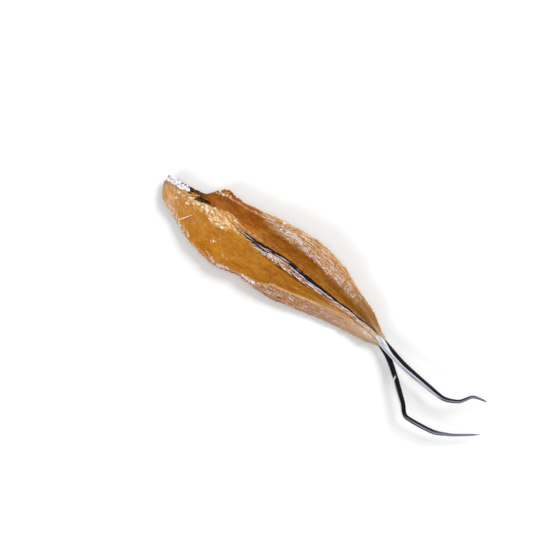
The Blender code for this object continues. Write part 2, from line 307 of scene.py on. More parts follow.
points[:, 2] += rim_share * 0.4 * grain(2.3, 50, 14) * MM
points[:, 2] = np.maximum(points[:, 2], 0)
flesh.data.vertices.foreach_set("co", points.ravel())
flesh.data.update()
bpy.ops.object.shade_smooth()


def paint(red, green, blue):
    """A colour given from 0 to 255 as it looks on a screen, as the linear colour that a shader takes."""
    shares = (value / 255 for value in (red, green, blue))
    return (*(s / 12.92 if s <= 0.04045 else ((s + 0.055) / 1.055) ** 2.4 for s in shares), 1)


class Finish:
    """A material's nodes, added one after another to its Principled shader."""

    def __init__(self, material):
        material.use_nodes = True
        self.material = material
        self.tree = material.node_tree
        self.shader = self.tree.nodes["Principled BSDF"]

    def add(self, kind, inputs=None, **settings):
        made = self.tree.nodes.new(kind)
        for name, value in settings.items():
            setattr(made, name, value)
        for name, value in (inputs or {}).items():
            self.feed(made.inputs[name], value)
        return made

    def feed(self, socket, value):
        if isinstance(value, bpy.types.NodeSocket):
            self.tree.links.new(value, socket)
        else:
            socket.default_value = value

    def mask(self, name):
        return self.add("ShaderNodeAttribute", attribute_name=name).outputs["Fac"]

    def place(self, lengthwise, crosswise, layer=0.0, slant=0.0):
        """Coordinates along and across the fish, in patches of these sizes in millimetres."""
        spot = self.add("ShaderNodeCombineXYZ", {"X": self.mask("along"), "Y": self.mask("sideways"), "Z": layer})
        turned = self.add("ShaderNodeVectorRotate", {"Vector": spot.outputs[0], "Angle": slant})
        sizes = (1 / lengthwise, 1 / crosswise, 1)
        return self.add("ShaderNodeVectorMath", {0: turned.outputs[0], 1: sizes}, operation="MULTIPLY").outputs[0]

    def spot(self, x, y, z):
        """Object coordinates, in patches of these sizes in millimetres."""
        here = self.add("ShaderNodeTexCoord").outputs["Object"]
        sizes = (1000 / x, 1000 / y, 1000 / z)
        return self.add("ShaderNodeVectorMath", {0: here, 1: sizes}, operation="MULTIPLY").outputs[0]

    def patches(self, vector, low, high, detail=3.0):
        """Soft noise that is 0 below `low` and 1 above `high`."""
        spots = self.add("ShaderNodeTexNoise", {"Vector": vector, "Scale": 1.0, "Detail": detail})
        return self.spread(spots.outputs["Fac"], low, high)

    def spread(self, value, low, high):
        ends = {"Value": value, "From Min": low, "From Max": high}
        return self.add("ShaderNodeMapRange", ends, interpolation_type="SMOOTHSTEP").outputs[0]

    def count(self, operation, first, second):
        return self.add("ShaderNodeMath", {0: first, 1: second}, operation=operation).outputs[0]

    def times(self, first, second):
        return self.count("MULTIPLY", first, second)

    def plus(self, first, second):
        return self.count("ADD", first, second)

    def cover(self, share, colour):
        """Lays a colour over the ones so far, as opaque as `share`."""
        under = self.colour
        self.colour = self.add("ShaderNodeMix", {0: share, 6: under, 7: colour}, data_type="RGBA").outputs[2]

    def steps(self, value, *colours):
        """A colour ramp, with its colours evenly spaced or each given as (place, colour)."""
        made = self.add("ShaderNodeValToRGB", {"Fac": value})
        stops = made.color_ramp.elements
        for number, colour in enumerate(colours):
            position = number / (len(colours) - 1)
            if len(colour) == 2:
                position, colour = colour
            stop = stops[number] if number < 2 else stops.new(position)
            stop.position, stop.color = position, colour
        return made.outputs[0]

    def raise_relief(self, height, depth):
        made = self.add("ShaderNodeBump", {"Height": height, "Distance": depth, "Strength": 1.0})
        self.feed(self.shader.inputs["Normal"], made.outputs[0])

    def set(self, **values):
        for name, value in values.items():
            self.feed(self.shader.inputs[name.replace("_", " ")], value)


cut = Finish(flesh.data.materials[cut_slot])
length_share = cut.times(cut.mask("along"), 1 / BODY_LENGTH)
near_flesh = cut.steps(length_share, (0.0, paint(220, 170, 108)), (0.1, paint(190, 130, 56)), (0.26, paint(184, 114, 16)),
                       (0.4, paint(176, 108, 20)), (0.52, paint(154, 90, 16)), (0.68, paint(174, 120, 36)),
                       (0.8, paint(218, 188, 130)), (0.95, paint(218, 190, 154)))
# The far half's amber is painted darker than the near half's: painted shade for its deeper, steeper channel.
shaded_far_flesh = cut.steps(length_share, (0.1, paint(132, 46, 0)), (0.2, paint(142, 54, 0)), (0.32, paint(160, 70, 0)),
                      (0.45, paint(150, 70, 0)), (0.58, paint(156, 80, 0)), (0.7, paint(150, 82, 0)),
                      (0.86, paint(170, 110, 40)), (0.96, paint(200, 168, 132)))
cut.colour = near_flesh
cut.cover(cut.mask("far_side"), shaded_far_flesh)
cut.cover(cut.times(cut.patches(cut.place(5.5, 3.2, 0), 0.4, 0.66, 5), 0.34), paint(152, 78, 2))
cut.cover(cut.times(cut.patches(cut.place(4.2, 2.4, 40), 0.44, 0.68, 6), 0.28), paint(214, 156, 50))
cut.cover(cut.times(cut.patches(cut.place(12, 4.5, 73), 0.46, 0.62, 4), 0.32), paint(206, 148, 46))
cut.cover(cut.times(cut.patches(cut.place(10, 4, 77, 0.15), 0.48, 0.64, 5), 0.34), paint(140, 76, 4))
streaks = cut.patches(cut.place(5, 0.5, 3), 0.4, 0.66, 5)
cut.cover(cut.times(streaks, 0.12), paint(224, 162, 60))
cut.cover(cut.times(cut.patches(cut.place(3.2, 1.3, 85), 0.44, 0.62, 4), 0.2), paint(134, 70, 2))
cut.cover(cut.times(cut.patches(cut.place(2.8, 1.3, 81), 0.46, 0.64, 4), 0.12), paint(226, 168, 70))
fine = cut.patches(cut.place(0.9, 0.6, 5), 0.42, 0.62)
cut.cover(cut.times(fine, 0.16), paint(236, 180, 84))
fibres_of_front = cut.patches(cut.place(5, 0.45, 51, 0.95), 0.48, 0.62, 4)
cut.cover(cut.times(cut.times(cut.mask("front"), fibres_of_front), 0.6), paint(244, 214, 188))
cut.cover(cut.times(cut.mask("gold"), 0.5), paint(196, 126, 16))
long_fibres = cut.patches(cut.place(5.5, 0.42, 8), 0.36, 0.64, 4)
short_bits = cut.patches(cut.place(1.0, 0.5, 12), 0.36, 0.64, 3)
lip_share = cut.plus(cut.times(long_fibres, 0.6), cut.times(short_bits, 0.4))
near_lip_colour = cut.steps(lip_share, paint(130, 84, 52), paint(168, 119, 84), paint(224, 190, 170))
cut.cover(cut.mask("near_lip"), near_lip_colour)
lip_amber = cut.patches(cut.place(8, 3, 44), 0.5, 0.66)
cut.cover(cut.times(cut.times(cut.mask("near_lip"), lip_amber), 0.4), paint(190, 126, 48))
lip_rear = cut.times(cut.mask("near_lip"), cut.spread(length_share, 0.6, 0.9))
cut.cover(cut.times(lip_rear, 0.38), paint(220, 184, 150))
far_lip_share = cut.spread(lip_share, 0.1, 0.9)
far_lip_colour = cut.steps(far_lip_share, paint(166, 108, 50), paint(190, 137, 78), paint(240, 208, 176))
cut.cover(cut.mask("far_lip"), far_lip_colour)
cut.cover(cut.times(cut.mask("far_lip_end"), 0.7), paint(142, 90, 36))
cut.cover(cut.times(cut.mask("far_strip"), 0.9), paint(150, 78, 12))
# Painted highlight along the far rim.
cut.cover(cut.mask("rim_line"), paint(228, 170, 92))
# The pale line along the near crest is partly paler flesh and partly a painted highlight.
cut.cover(cut.times(cut.mask("near_crest"), 0.6), paint(240, 200, 136))
cut.cover(cut.times(cut.mask("far_crest"), 0.7), paint(232, 178, 150))
flap_bits = cut.patches(cut.place(4, 0.5, 7), 0.36, 0.64, 4)
cut.cover(cut.mask("flap"), cut.steps(flap_bits, paint(48, 20, 6), paint(124, 60, 18), paint(184, 118, 76)))
band_bits = cut.patches(cut.place(2.6, 0.8, 9, 0.3), 0.32, 0.68, 4)
cut.cover(cut.mask("band"), cut.steps(band_bits, paint(188, 118, 34), paint(220, 168, 96), paint(244, 216, 178)))
cut.cover(cut.times(cut.mask("shade"), 0.9), paint(52, 22, 6))
# Painted shadow beside the neck bone's far side.
cut.cover(cut.times(cut.mask("gap"), 0.7), paint(86, 44, 18))
root_bits = cut.patches(cut.place(2.0, 0.9, 61), 0.36, 0.52, 5)
cut.cover(cut.times(cut.mask("tail_root"), root_bits), paint(238, 220, 200))
# Frost along the crests: pinkish-white streaks and white flecks, partly a whitish film of dried fat and partly painted
# glints.
frost_streaks = cut.patches(cut.place(2.6, 0.4, 14), 0.5, 0.58, 4)
cut.cover(cut.times(cut.times(cut.mask("frost"), frost_streaks), 0.4), paint(216, 176, 172))
fleck_bar = cut.add("ShaderNodeMath", {0: cut.mask("frost"), 1: -0.4, 2: 0.98}, operation="MULTIPLY_ADD").outputs[0]
fleck_noise = cut.patches(cut.place(1.8, 0.5, 11, 0.1), 0.0, 1.0, 3)
frost_and_glint_flecks = cut.spread(cut.count("SUBTRACT", fleck_noise, fleck_bar), 0.0, 0.07)
cut.cover(frost_and_glint_flecks, paint(244, 236, 242))
cut.set(Base_Color=cut.colour, Roughness=0.42, IOR=1.42, Specular_IOR_Level=0.2, Specular_Tint=paint(255, 196, 120))
cut.set(Subsurface_Weight=0.12, Subsurface_Scale=0.0012, Coat_Weight=0.09, Coat_Roughness=0.16)
cut.shader.inputs["Subsurface Radius"].default_value = (1.0, 0.45, 0.18)
cut.raise_relief(cut.plus(cut.plus(cut.times(streaks, 0.5), fine), cut.times(frost_and_glint_flecks, 0.8)), 0.00012)

back = Finish(flesh.data.materials[skin_slot])
scales = back.add("ShaderNodeTexVoronoi", {"Vector": back.place(1.5, 1.3), "Scale": 1.0}).outputs["Distance"]
back.colour = paint(146, 98, 52)
back.cover(back.patches(back.place(16, 3, 2), 0.35, 0.65, 5), paint(172, 138, 100))
back.cover(back.times(back.patches(back.place(9, 1.2, 71), 0.42, 0.64, 5), 0.6), paint(128, 122, 118))
back.cover(back.times(back.spread(scales, 0.3, 0.7), 0.35), paint(92, 68, 50))
back.set(Base_Color=back.colour, Roughness=0.32, Subsurface_Weight=0.15, Subsurface_Scale=0.001, Coat_Weight=0.2)
back.raise_relief(scales, 0.0001)

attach(flesh, "root")
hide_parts("dried_sardine")

# ---------------------------------------------------------------------------------------------------------------
# The spine lining. A dark, dried membrane runs along the backbone from a third of the body's length to the tail.
# It is shrunk to a glossy twisted cord with a silvery edge, and shorter torn pieces of it lie near the neck.

LINING_ROUTE = ((38.8, 4.5), (42, 4.7), (46.7, 4.7), (50.2, 5.0), (55, 5.1), (60.5, 5.7), (64.3, 5.6), (68.1, 5.1),
                (72, 4.7), (76, 4.6), (80.3, 4.45), (86.4, 4.2), (91, 3.9), (95.9, 3.9), (101, 3.6), (106.4, 3.4),
                (112.6, 3.0))
LINING_WIDTH = ((38, 0.4), (44, 0.7), (47, 0.95), (52, 1.2), (56, 1.35), (60, 1.1), (63, 1.2), (66, 1.7), (75, 1.7),
                (78, 1.3), (86, 1.0), (92, 0.8), (102, 0.6), (113, 0.3))
DARK_PIECES = {
    "second_strand": (
        ((36, 4.4), (40.2, 4.2), (44, 3.8), (48.5, 3.6), (52.7, 3.4), (55.5, 4.4), (58.3, 4.8), (61, 5.0), (63.5, 5.1)),
        ((36, 0.25), (42, 0.6), (46, 0.7), (50, 0.6), (56, 0.6), (63.5, 0.3)),
    ),
    "front_strand": (((14.6, 5.3), (17, 5.4), (20.4, 5.8), (24.2, 6.1)),
                     ((14.6, 0.3), (17, 0.75), (19.5, 0.75), (22, 0.45), (24.2, 0.2))),
    "front_strand_far": (((15.4, 6.0), (17.2, 6.2), (19.8, 6.5), (22.4, 6.5)),
                         ((15.4, 0.25), (17.2, 0.6), (19.8, 0.6), (22.4, 0.2))),
    "front_shred_1": (((10.3, 4.6), (11.5, 4.9), (13.3, 5.4)), ((10.3, 0.3), (12, 0.6), (13.3, 0.3))),
    "front_shred_2": (((13.9, 4.1), (15.4, 4.2), (17.2, 4.6), (19.2, 5.2)),
                      ((13.9, 0.2), (15.5, 0.5), (17.2, 0.5), (19.2, 0.2))),
    "front_shred_3": (((11.0, 6.2), (12.2, 6.2), (13.6, 6.2)), ((11, 0.2), (12.2, 0.6), (13.6, 0.2))),
}
SILVER_PIECES = {
    "silver_edge": (((65, 4.4), (67.1, 4.25), (72.3, 3.8), (76.5, 3.65), (80, 3.6), (84.7, 3.6), (88.5, 3.5),
                     (92.8, 3.45), (97.2, 3.4), (101.4, 3.2), (106, 2.9)),
                    ((65, 0.15), (70, 0.4), (84, 0.45), (94, 0.35), (106, 0.15))),
    "silver_centre": (((52, 4.6), (57, 4.9), (61, 5.3), (65.5, 5.5)), ((52, 0.1), (57, 0.36), (62, 0.42), (65.5, 0.1))),
    "silver_start": (((36.5, 4.7), (41, 4.3), (46, 4.2)), ((36.5, 0.15), (41, 0.3), (46, 0.15))),
}
STRAND_SIDES = 20
STRAND_STEP = 0.3  # millimetres between a strand's rings

flesh_tree = BVHTree.FromObject(flesh, bpy.context.evaluated_depsgraph_get())


def on_flesh(x, y):
    """The point of the finished flesh straight above (x, y), and its normal there. Millimetres in, metres out."""
    hit, normal, _, _ = flesh_tree.ray_cast(Vector((neck_x + x * MM, y * MM, 0.05)), Vector((0, 0, -1)))
    return hit, normal


def heights_on(xs, ys):
    """Heights in millimetres of the finished flesh at these places, and 0 beside it."""
    hits = [on_flesh(x, y)[0] for x, y in zip(xs, ys)]
    return np.array([hit.z / MM if hit else 0.0 for hit in hits])


def make_strand(name, middles, widths, flatness, grooves, groove_depth, twist=0.0):
    """A strand along `middles`, points in millimetres, as wide as `widths`, with `grooves` cut along it."""
    outline_curve = bpy.data.curves.new(name + "_outline", "CURVE")
    outline_curve.dimensions = "2D"
    outline = outline_curve.splines.new("POLY")
    outline.use_cyclic_u = True
    outline.points.add(STRAND_SIDES - 1)
    for number, point in enumerate(outline.points):
        turn = 2 * math.pi * number / STRAND_SIDES
        swell = 1 + groove_depth * math.cos(grooves * turn)
        point.co = (math.cos(turn) * swell, math.sin(turn) * swell * flatness, 0, 1)
    profile = bpy.data.objects.new(name + "_profile", outline_curve)
    bpy.context.scene.collection.objects.link(profile)
    route = bpy.data.curves.new(name, "CURVE")
    route.dimensions = "3D"
    route.twist_mode = "Z_UP"
    route.bevel_mode = "OBJECT"
    route.bevel_object = profile
    route.use_fill_caps = True
    line = route.splines.new("POLY")
    line.points.add(len(middles) - 1)
    for point, middle, width in zip(line.points, middles, widths):
        point.co = (neck_x + middle[0] * MM, middle[1] * MM, middle[2] * MM, 1)
        point.radius = width / 2 * MM
        point.tilt = twist * noise.noise((middle[0] / 6, 0.5, len(name)))
    strand = bpy.data.objects.new(name, route)
    bpy.context.scene.collection.objects.link(strand)
    bpy.ops.object.select_all(action="DESELECT")
    strand.select_set(True)
    bpy.context.view_layer.objects.active = strand
    bpy.ops.object.convert(target="MESH")
    strand = bpy.context.object
    bpy.data.objects.remove(profile)
    rings = len(middles) * STRAND_SIDES
    turns, runs = np.zeros(len(strand.data.vertices)), np.zeros(len(strand.data.vertices))
    turns[:rings] = np.tile(np.arange(STRAND_SIDES) / STRAND_SIDES, len(middles))
    steps = np.linalg.norm(np.diff(middles, axis=0), axis=1)
    runs[:rings] = np.repeat(np.concatenate([[0], np.cumsum(steps)]), STRAND_SIDES)
    keep_numbers(strand.data, "turn", turns)
    keep_numbers(strand.data, "run", runs)
    bpy.ops.object.mode_set(mode="EDIT")
    bpy.ops.mesh.select_all(action="SELECT")
    bpy.ops.mesh.normals_make_consistent(inside=False)
    bpy.ops.object.mode_set(mode="OBJECT")
    bpy.ops.object.shade_smooth()
    return strand


def lay_strand(name, knots, width_knots, height, wobble, **shape):
    """A strand laid on the flesh along (x, y) knots, its middle `height` above it."""
    x = np.arange(knots[0][0], knots[-1][0], STRAND_STEP)
    layer = sum(name.encode()) % 97
    y = smooth_curve(knots, x) + wobble * np.array([noise.noise((u / 2.5, 0, layer)) for u in x])
    z = heights_on(x, y)
    for _ in range(8):
        z[1:-1] = (z[:-2] + 2 * z[1:-1] + z[2:]) / 4
    widths = smooth_curve(width_knots, x) * (1 + 0.22 * np.array([noise.noise((u / 1.7, 3, layer)) for u in x]))
    widths[:3] *= (0.3, 0.6, 0.85)
    widths[-3:] *= (0.85, 0.6, 0.3)
    return make_strand(name, np.stack([x, y, z + height], axis=1), widths, **shape)


def use(piece, finish):
    piece.data.materials.clear()
    piece.data.materials.append(finish.material)
    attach(piece, "root")
    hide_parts("dried_sardine")


dark = Finish(bpy.data.materials.new("dark_membrane"))
wisps = dark.patches(dark.spot(5, 0.5, 0.8), 0.35, 0.75, 4)
dark_colour = dark.steps(wisps, (0.0, paint(2, 2, 5)), (0.7, paint(5, 6, 11)), (0.88, paint(24, 30, 50)),
                         (1.0, paint(128, 142, 178)))
dark.set(Base_Color=dark_colour, Roughness=0.3, Specular_IOR_Level=0.1, Coat_Weight=0.0)
dark.raise_relief(wisps, 0.00008)
use(lay_strand("spine_lining", LINING_ROUTE, LINING_WIDTH, 0.22, 0.25, flatness=0.45, grooves=5, groove_depth=0.09,
               twist=0.8), dark)
for name, (route, widths) in DARK_PIECES.items():
    use(lay_strand(name, route, widths, 0.2, 0.35, flatness=0.5, grooves=3, groove_depth=0.15, twist=1.2), dark)

silver = Finish(bpy.data.materials.new("silver_membrane"))
silver_bits = silver.patches(silver.spot(3, 0.5, 0.8), 0.3, 0.7, 4)
silver_colour = silver.steps(silver_bits, paint(96, 100, 130), paint(176, 180, 206), paint(240, 240, 250))
silver.set(Base_Color=silver_colour, Roughness=0.3, Coat_Weight=0.3, Coat_Roughness=0.15)
silver.raise_relief(silver_bits, 0.00008)
for name, (route, widths) in SILVER_PIECES.items():
    height = 0.2 if name == "silver_edge" else 0.55
    use(lay_strand(name, route, widths, height, 0.25, flatness=0.4, grooves=3, groove_depth=0.15, twist=1.5), silver)

# ---------------------------------------------------------------------------------------------------------------
# The ridge's fibres. Shreds of muscle and tendon, white, pink, orange and brown, twisted together beside the
# lining, and paler ones along its far side. They are made as one mesh of thin pointed tubes.

FIBRE_SIDES = 6
RIDGE_FIBRES = 160
SIDE_FIBRES = 16
BOLD_FIBRES = 26
ROOT_FIBRES = 26
draw = random.Random(5)


def make_mesh(name, points, faces, **numbers):
    """A smooth object of points in metres and faces, that keeps these numbers at its points."""
    mesh = bpy.data.meshes.new(name)
    mesh.from_pydata(points.tolist(), [], faces)
    mesh.update()
    for kind, values in numbers.items():
        keep_numbers(mesh, kind, values)
    made = bpy.data.objects.new(name, mesh)
    bpy.context.scene.collection.objects.link(made)
    bpy.ops.object.select_all(action="DESELECT")
    made.select_set(True)
    bpy.context.view_layer.objects.active = made
    bpy.ops.object.mode_set(mode="EDIT")
    bpy.ops.mesh.select_all(action="SELECT")
    bpy.ops.mesh.normals_make_consistent(inside=False)
    bpy.ops.object.mode_set(mode="OBJECT")
    bpy.ops.object.shade_smooth()
    return made


def make_fibres(name, fibres):
    """Thin pointed fibres in one mesh, each given as (points in millimetres, radii, tint)."""
    points, faces, tints, first = [], [], [], 0
    turns = np.arange(FIBRE_SIDES) * 2 * math.pi / FIBRE_SIDES
    for middles, radii, tint in fibres:
        ways = np.gradient(middles, axis=0)
        ways /= np.linalg.norm(ways, axis=1)[:, None]
        sides = np.cross(ways, (0, 0, 1.0))
        sides /= np.linalg.norm(sides, axis=1)[:, None]
        ups = np.cross(sides, ways)
        ring = np.cos(turns)[None, :, None] * sides[:, None] + 0.7 * np.sin(turns)[None, :, None] * ups[:, None]
        loops = (middles[:, None] + radii[:, None, None] * ring).reshape(-1, 3)
        points += [loops, middles[:1] - ways[:1] * 0.1, middles[-1:] + ways[-1:] * 0.1]
        last = first + len(loops) - FIBRE_SIDES
        start_tip, end_tip = first + len(loops), first + len(loops) + 1
        for k in range(FIBRE_SIDES):
            after = (k + 1) % FIBRE_SIDES
            for row in range(first, last, FIBRE_SIDES):
                faces.append((row + k, row + after, row + after + FIBRE_SIDES, row + k + FIBRE_SIDES))
            faces += [(first + after, first + k, start_tip), (last + k, last + after, end_tip)]
        tints.append(np.full(len(loops) + 2, tint))
        first = end_tip + 1
    return make_mesh(name, np.vstack(points) * MM + (neck_x, 0, 0), faces, tint=np.concatenate(tints))


def draw_fibre(start, length, side, radius, tint, slant, wave):
    """A wavy fibre on the flesh from x = start, `side` millimetres from the spine's line."""
    x = np.arange(start, start + length, 0.5)
    phase, pitch = draw.uniform(0, 6.28), draw.uniform(4, 9)
    swing = x * 2 * math.pi / pitch + phase
    y = smooth_curve(SPINE_Y, x) + side + slant * (x - start) + wave * np.sin(swing)
    z = heights_on(x, y) + radius * 0.5 + wave * 0.4 * np.sin(swing + 1.5)
    z[1:-1] = (z[:-2] + 2 * z[1:-1] + z[2:]) / 4
    swell = 0.25 + 0.75 * np.sin(np.linspace(0, math.pi, len(x))) ** 0.5
    return np.stack([x, y, z], axis=1), radius * swell * (1 + 0.2 * np.sin(x * 2.1 + phase)), tint


fibres = []
for number in range(RIDGE_FIBRES):
    start = draw.uniform(43, 92)
    length = min(draw.uniform(5, 18), 104 - start)
    middle_x = start + length / 2
    near, far = (np.interp(middle_x, *np.transpose(edge)) for edge in (RIDGE_NEAR_EDGE, RIDGE_FAR_EDGE))
    side = draw.uniform(near + 0.3, far - 0.45) - np.interp(middle_x, *np.transpose(SPINE_Y))
    paleness = np.interp(middle_x, (46, 56, 64, 76, 100), (0.55, 0.6, 0.28, 0.2, 0.45))
    tint = draw.uniform(0.66, 1) if draw.random() < paleness else draw.choice((0.02, 0.05, 0.1, 0.3, 0.42))
    fibres.append(draw_fibre(start, length, side, draw.uniform(0.06, 0.15), tint, draw.uniform(-0.06, 0.06), 0.17))
for _ in range(SIDE_FIBRES):
    start = draw.uniform(33, 54)
    fibres.append(draw_fibre(start, draw.uniform(3, 9), draw.uniform(0.9, 2.8), draw.uniform(0.06, 0.12),
                             draw.uniform(0.15, 0.4), draw.uniform(-0.06, 0.02), 0.12))
for number in range(BOLD_FIBRES):
    start = draw.uniform(67, 96)
    near, far = (np.interp(start + 3, *np.transpose(edge)) for edge in (RIDGE_NEAR_EDGE, RIDGE_FAR_EDGE))
    side = draw.uniform(near + 0.2, far - 0.5) - np.interp(start + 3, *np.transpose(SPINE_Y))
    tint = 0.02 if number % 3 else draw.uniform(0.85, 1)
    fibres.append(draw_fibre(start, draw.uniform(3, 8), side, draw.uniform(0.13, 0.2), tint,
                             draw.uniform(-0.04, 0.04), 0.12))
for _ in range(ROOT_FIBRES):
    start = draw.uniform(82, 101)
    fibres.append(draw_fibre(start, draw.uniform(3, 8), draw.uniform(-3.3, -1.2), draw.uniform(0.08, 0.2),
                             draw.uniform(0.42, 0.9), draw.uniform(-0.05, 0.03), 0.15))
fibre = Finish(bpy.data.materials.new("ridge_fibre"))
fibre_bits = fibre.patches(fibre.spot(2.5, 0.5, 0.8), 0.3, 0.7, 3)
fibre_share = fibre.plus(fibre.times(fibre.mask("tint"), 0.8), fibre.times(fibre_bits, 0.2))
fibre_colour = fibre.steps(fibre_share, (0.06, paint(52, 22, 8)), (0.22, paint(150, 78, 24)), (0.4, paint(204, 128, 62)),
                           (0.6, paint(222, 164, 122)), (0.84, paint(252, 236, 222)))
fibre.set(Base_Color=fibre_colour, Roughness=0.32, Subsurface_Weight=0.15, Subsurface_Scale=0.0005, Coat_Weight=0.2)
use(make_fibres("ridge_fibres", fibres), fibre)

# ---------------------------------------------------------------------------------------------------------------
# The neck bone. Where the head was cut off, the split backbone shows as a crust of chalky white splinters along
# the far side of the front edge. Lumps of all sizes are set along the edge and grown together.

BONE_ROUTE = ((0.3, 4.2), (1.5, 4.9), (2.5, 5.1), (5, 5.4), (7, 5.3), (9, 5.7), (10.8, 5.5))
BONE_WIDTH = ((0.3, 0.6), (2.2, 1.2), (4, 1.05), (6.7, 0.85), (9, 0.95), (10.8, 0.4))
BONE_PEAKS = ((2.3, 6.2, 0.45), (2.9, 5.9, 0.35), (5.6, 6.5, 0.4), (6.0, 6.2, 0.35), (9.2, 6.9, 0.35), (9.4, 6.5, 0.35),
              (1.2, 5.6, 0.3), (4.2, 6.2, 0.3), (7.6, 6.3, 0.3), (10.4, 6.5, 0.25))
BONE_LUMPS = 260
BONE_VOXEL = 0.1
draw = random.Random(11)


def make_lumps(name, spots, detail, flatness, roughness=0.25):
    """Rough lumps in one mesh, each from (place, direction of its thin way, heading, radius, length)."""
    bpy.ops.mesh.primitive_ico_sphere_add(subdivisions=detail, radius=1)
    seed = bpy.context.object
    shape = points_of(seed.data)
    sides = np.array([tuple(face.vertices) for face in seed.data.polygons])
    bpy.data.objects.remove(seed)
    points, faces, tints = [], [], []
    for place, thin_way, heading, radius, length in spots:
        lie = thin_way.to_track_quat("Z", "X").to_matrix()
        way = lie.inverted() @ Vector((math.cos(heading), math.sin(heading), 0))
        turn = lie @ Matrix.Rotation(math.atan2(way.y, way.x), 3, "Z") @ Matrix.Rotation(draw.gauss(0, 0.3), 3, "X")
        swell = np.array([draw.uniform(1 - roughness, 1 + roughness) for _ in shape])[:, None]
        own = swell * shape * (length, 1, flatness) * radius * MM
        faces += (sides + len(points) * len(shape)).tolist()
        points.append(own @ np.array(turn).T + np.array(place))
        tints.append(np.full(len(shape), draw.random()))
    return make_mesh(name, np.vstack(points), faces, tint=np.concatenate(tints))


def grow_together(piece, voxel):
    grow = piece.modifiers.new("grow", "REMESH")
    grow.mode = "VOXEL"
    grow.voxel_size = voxel * MM
    smooth = piece.modifiers.new("smooth", "SMOOTH")
    smooth.factor = 0.4
    smooth.iterations = 1
    apply_all(piece)
    bpy.ops.object.shade_smooth()
    return piece


def lump_on_flesh(x, y, depth, heading, radius, length):
    """One lump for make_lumps, its middle `depth` millimetres into the flesh, or none where (x, y) is beside it."""
    place, outward = on_flesh(x, y)
    return [(place - outward * depth * MM, -outward, heading, radius, length)] if place else []


UP = Vector((0, 0, 1))
spots = []
for _ in range(BONE_LUMPS):
    x = draw.uniform(0.3, 10.8)
    width = np.interp(x, *np.transpose(BONE_WIDTH))
    y = np.interp(x, *np.transpose(BONE_ROUTE)) + draw.uniform(-1, 1) * width
    height = heights_on((x, x), (y, 5.2)).max() + draw.uniform(-0.3, 0.4)
    place = Vector((neck_x + x * MM, y * MM, height * MM))
    spots.append((place, UP, draw.uniform(0, 3.1), draw.uniform(0.18, 0.42), draw.uniform(1.0, 2.4)))
for x, y, size in BONE_PEAKS:
    for _ in range(7):
        at_x, at_y = x + draw.gauss(0, 0.2), y + draw.gauss(0, 0.25)
        height = heights_on((at_x, at_x), (at_y, 5.2)).max() + draw.uniform(-0.2, 0.4)
        place = Vector((neck_x + at_x * MM, at_y * MM, height * MM))
        spots.append((place, UP, draw.uniform(0, 3.1), size * draw.uniform(0.5, 1), 1.4))
chalk = Finish(bpy.data.materials.new("chalky_bone"))
# The bone is bluish white, blotched with grey-blue patches that are painted shade between the splinters, laid at
# random.
bone_bits = chalk.patches(chalk.spot(1.3, 1.0, 1.0), 0.36, 0.64, 4)
bone_colour = chalk.steps(bone_bits, paint(172, 174, 196), paint(232, 234, 246), paint(254, 254, 255))
chalk.set(Base_Color=bone_colour, Roughness=0.4, Subsurface_Weight=0.1, Subsurface_Scale=0.0003, Coat_Weight=0.1)
chalk.raise_relief(bone_bits, 0.0002)
use(grow_together(make_lumps("neck_bone", spots, 2, 0.7, roughness=0.16), BONE_VOXEL), chalk)

# ---------------------------------------------------------------------------------------------------------------
# Shreds and crumbs of dried flesh and fat, cream to white, heaped over the pale band beside the backbone and at
# the far half's front corner, and single white specks of fat.

BAND_SHREDS = 420
CORNER_CRUMBS = 40
WHITE_SPECKS = ((13.2, 0.6, 0.5), (16.9, 2.5, 0.4), (22.3, 3.2, 0.85), (13.1, 4.1, 0.45), (12.9, 2.9, 0.4),
                (7.75, 3.0, 0.4), (8.1, -0.1, 0.35), (26.4, 1.2, 0.5), (27.2, 0.4, 0.4), (32.0, -6.1, 0.35),
                (38.9, -8.8, 0.25), (41.4, -8.85, 0.25), (56.4, -10.6, 0.5), (43.9, -12.0, 0.4), (102.8, 2.4, 0.5),
                (98.4, 1.7, 0.35), (24.1, 12.7, 0.6), (52.3, 18.2, 0.5), (64.0, 2.4, 0.4), (57.5, 2.3, 0.45),
                (66.0, 2.0, 0.35), (22.1, 13.2, 0.5), (27.4, 13.6, 0.5), (25.6, 13.4, 0.4), (14.9, 5.9, 0.35),
                (15.8, 6.5, 0.3), (19.8, 3.1, 0.45), (24.6, 3.6, 0.4), (17.6, 3.4, 0.4), (10.9, 3.6, 0.4))
spots = []
for _ in range(BAND_SHREDS):
    x = draw.uniform(7, 37)
    low, high = (np.interp(x, *np.transpose(edge)) for edge in (BAND_NEAR_EDGE, BAND_FAR_EDGE))
    y, depth, heading = draw.uniform(low, high - 0.2), draw.uniform(-0.16, 0.02), draw.gauss(-0.4, 0.4)
    if noise.noise((x / 2.4, y / 1.2, 3.5)) > draw.uniform(-0.2, 0.25):
        spots += lump_on_flesh(x, y, depth, heading, draw.uniform(0.14, 0.34), draw.uniform(2.5, 8))
for _ in range(CORNER_CRUMBS):
    x = draw.uniform(21, 28.5)
    y = np.interp(x, (21, 24, 28), (12.4, 13.2, 13.8)) + draw.gauss(0, 0.7)
    spots += lump_on_flesh(x, y, 0, draw.uniform(0, 3.1), draw.uniform(0.15, 0.4), draw.uniform(1.1, 2.4))
shred = Finish(bpy.data.materials.new("pale_shreds"))
shred_bits = shred.patches(shred.spot(1.8, 0.8, 0.8), 0.34, 0.66, 4)
shred_colour = shred.steps(shred_bits, paint(188, 118, 32), paint(216, 160, 76), paint(234, 196, 134),
                           paint(252, 238, 218))
shred.set(Base_Color=shred_colour, Roughness=0.36, Subsurface_Weight=0.3, Subsurface_Scale=0.0008, Coat_Weight=0.15)
use(grow_together(make_lumps("flesh_shreds", spots, 2, 0.4, roughness=0.12), 0.11), shred)

